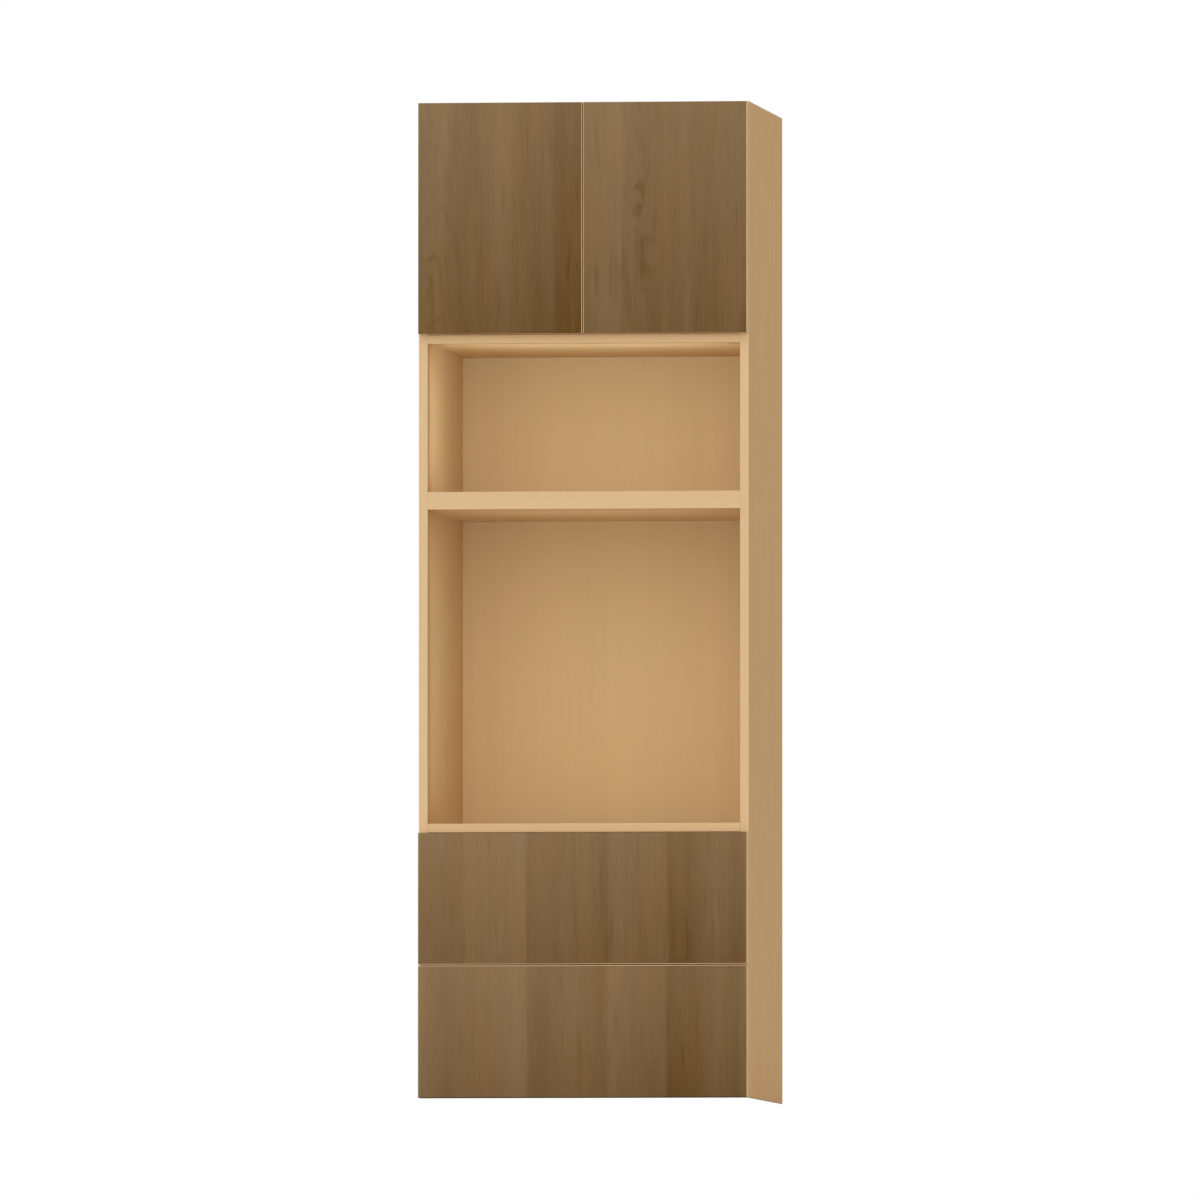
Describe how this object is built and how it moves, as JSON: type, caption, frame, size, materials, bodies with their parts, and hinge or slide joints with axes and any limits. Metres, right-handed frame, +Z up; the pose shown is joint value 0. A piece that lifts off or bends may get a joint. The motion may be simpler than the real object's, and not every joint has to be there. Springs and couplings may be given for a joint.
{
  "type": "tall oven housing unit",
  "caption": "Tall kitchen cabinet with a double-door cupboard on top, open niches for a microwave and a built-in oven, and wide drawers on telescopic runners below.",
  "frame": {"origin": "middle of the unit's footprint, on the floor", "axes": "+Z up, +X to the right of someone who faces the unit, -Y out of the fronts"},
  "size_m": [0.6, 0.58, 1.8],
  "materials": {
    "carcass_board": "satin melamine, light wood",
    "front_decor": "satin wood decor with vertical grain",
    "drawer_board": "satin melamine, light wood",
    "zinc_steel": "zinc-plated rolled steel",
    "nickel_plate": "nickel-plated",
    "grey_plastic": "moulded, matt"
  },
  "bodies": {
    "carcass": {"side_panel_left": "carcass_board", "side_panel_right": "carcass_board", "top_panel": "carcass_board", "bottom_panel": "carcass_board", "cupboard_floor": "carcass_board", "microwave_shelf": "carcass_board", "oven_niche_top": "carcass_board", "oven_shelf": "carcass_board", "cupboard_back": "carcass_board", "niche_back": "carcass_board", "drawer_bay_back": "carcass_board", "drawer_cross_rail": "carcass_board", "hinge_arm_left_lower": "nickel_plate", "hinge_arm_left_upper": "nickel_plate", "latch_housing_left": "grey_plastic", "hinge_arm_right_lower": "nickel_plate", "hinge_arm_right_upper": "nickel_plate", "latch_housing_right": "grey_plastic", "runner_lower_left_cabinet": "zinc_steel", "runner_lower_right_cabinet": "zinc_steel", "runner_upper_left_cabinet": "zinc_steel", "runner_upper_right_cabinet": "zinc_steel"},
    "door_left": {"door_left": "front_decor", "hinge_cup_left_lower": "nickel_plate", "hinge_cup_left_upper": "nickel_plate"},
    "outer_links_left": {"hinge_outer_link_left_lower": "zinc_steel", "hinge_outer_link_left_upper": "zinc_steel"},
    "inner_links_left": {"hinge_inner_link_left_lower": "zinc_steel", "hinge_inner_link_left_upper": "zinc_steel"},
    "plunger_left": {"latch_plunger_left": "grey_plastic"},
    "door_right": {"door_right": "front_decor", "hinge_cup_right_lower": "nickel_plate", "hinge_cup_right_upper": "nickel_plate"},
    "outer_links_right": {"hinge_outer_link_right_lower": "zinc_steel", "hinge_outer_link_right_upper": "zinc_steel"},
    "inner_links_right": {"hinge_inner_link_right_lower": "zinc_steel", "hinge_inner_link_right_upper": "zinc_steel"},
    "plunger_right": {"latch_plunger_right": "grey_plastic"},
    "drawer_lower": {"drawer_lower_front": "front_decor", "drawer_lower_inner_front": "drawer_board", "drawer_lower_side_left": "drawer_board", "drawer_lower_side_right": "drawer_board", "drawer_lower_back": "drawer_board", "drawer_lower_base": "drawer_board", "runner_lower_left_drawer": "zinc_steel", "runner_lower_right_drawer": "zinc_steel"},
    "runner_middles_lower": {"runner_lower_left_middle": "zinc_steel", "runner_lower_right_middle": "zinc_steel"},
    "drawer_upper": {"drawer_upper_front": "front_decor", "drawer_upper_inner_front": "drawer_board", "drawer_upper_side_left": "drawer_board", "drawer_upper_side_right": "drawer_board", "drawer_upper_back": "drawer_board", "drawer_upper_base": "drawer_board", "runner_upper_left_drawer": "zinc_steel", "runner_upper_right_drawer": "zinc_steel"},
    "runner_middles_upper": {"runner_upper_left_middle": "zinc_steel", "runner_upper_right_middle": "zinc_steel"}
  },
  "joints": [
    {"name": "door_left_swing", "type": "hinge", "parent": "carcass", "child": "door_left", "pos_m": [-0.2932, -0.2852, 1.589], "axis": [0, 0, -1], "range_deg": [0, 100]},
    {"name": "outer_links_left_turn", "type": "hinge", "parent": "carcass", "child": "outer_links_left", "pos_m": [-0.271, -0.274, 1.589], "axis": [0, 0, 1], "range_deg": [0, 40]},
    {"name": "inner_links_left_turn", "type": "hinge", "parent": "carcass", "child": "inner_links_left", "pos_m": [-0.2665, -0.277, 1.589], "axis": [0, 0, 1], "range_deg": [0, 32]},
    {"name": "plunger_left_travel", "type": "slide", "parent": "carcass", "child": "plunger_left", "axis": [0, -1, 0], "range_m": [0, 0.037]},
    {"name": "door_right_swing", "type": "hinge", "parent": "carcass", "child": "door_right", "pos_m": [0.2932, -0.2852, 1.589], "axis": [0, 0, 1], "range_deg": [0, 100]},
    {"name": "outer_links_right_turn", "type": "hinge", "parent": "carcass", "child": "outer_links_right", "pos_m": [0.271, -0.274, 1.589], "axis": [0, 0, -1], "range_deg": [0, 40]},
    {"name": "inner_links_right_turn", "type": "hinge", "parent": "carcass", "child": "inner_links_right", "pos_m": [0.2665, -0.277, 1.589], "axis": [0, 0, -1], "range_deg": [0, 32]},
    {"name": "plunger_right_travel", "type": "slide", "parent": "carcass", "child": "plunger_right", "axis": [0, -1, 0], "range_m": [0, 0.037]},
    {"name": "drawer_lower_slide", "type": "slide", "parent": "carcass", "child": "drawer_lower", "axis": [0, -1, 0], "range_m": [0, 0.48]},
    {"name": "runner_middles_lower_slide", "type": "slide", "parent": "carcass", "child": "runner_middles_lower", "axis": [0, -1, 0], "range_m": [0, 0.24]},
    {"name": "drawer_upper_slide", "type": "slide", "parent": "carcass", "child": "drawer_upper", "axis": [0, -1, 0], "range_m": [0, 0.48]},
    {"name": "runner_middles_upper_slide", "type": "slide", "parent": "carcass", "child": "runner_middles_upper", "axis": [0, -1, 0], "range_m": [0, 0.24]}
  ],
  "couplings": [
    {"joint": "outer_links_left_turn", "follows": "door_left_swing", "ratio": 0.4},
    {"joint": "inner_links_left_turn", "follows": "door_left_swing", "ratio": 0.32},
    {"joint": "plunger_left_travel", "follows": "door_left_swing", "m_per_rad": 0.021},
    {"joint": "outer_links_right_turn", "follows": "door_right_swing", "ratio": 0.4},
    {"joint": "inner_links_right_turn", "follows": "door_right_swing", "ratio": 0.32},
    {"joint": "plunger_right_travel", "follows": "door_right_swing", "m_per_rad": 0.021},
    {"joint": "runner_middles_lower_slide", "follows": "drawer_lower_slide", "ratio": 0.5},
    {"joint": "runner_middles_upper_slide", "follows": "drawer_upper_slide", "ratio": 0.5}
  ]
}
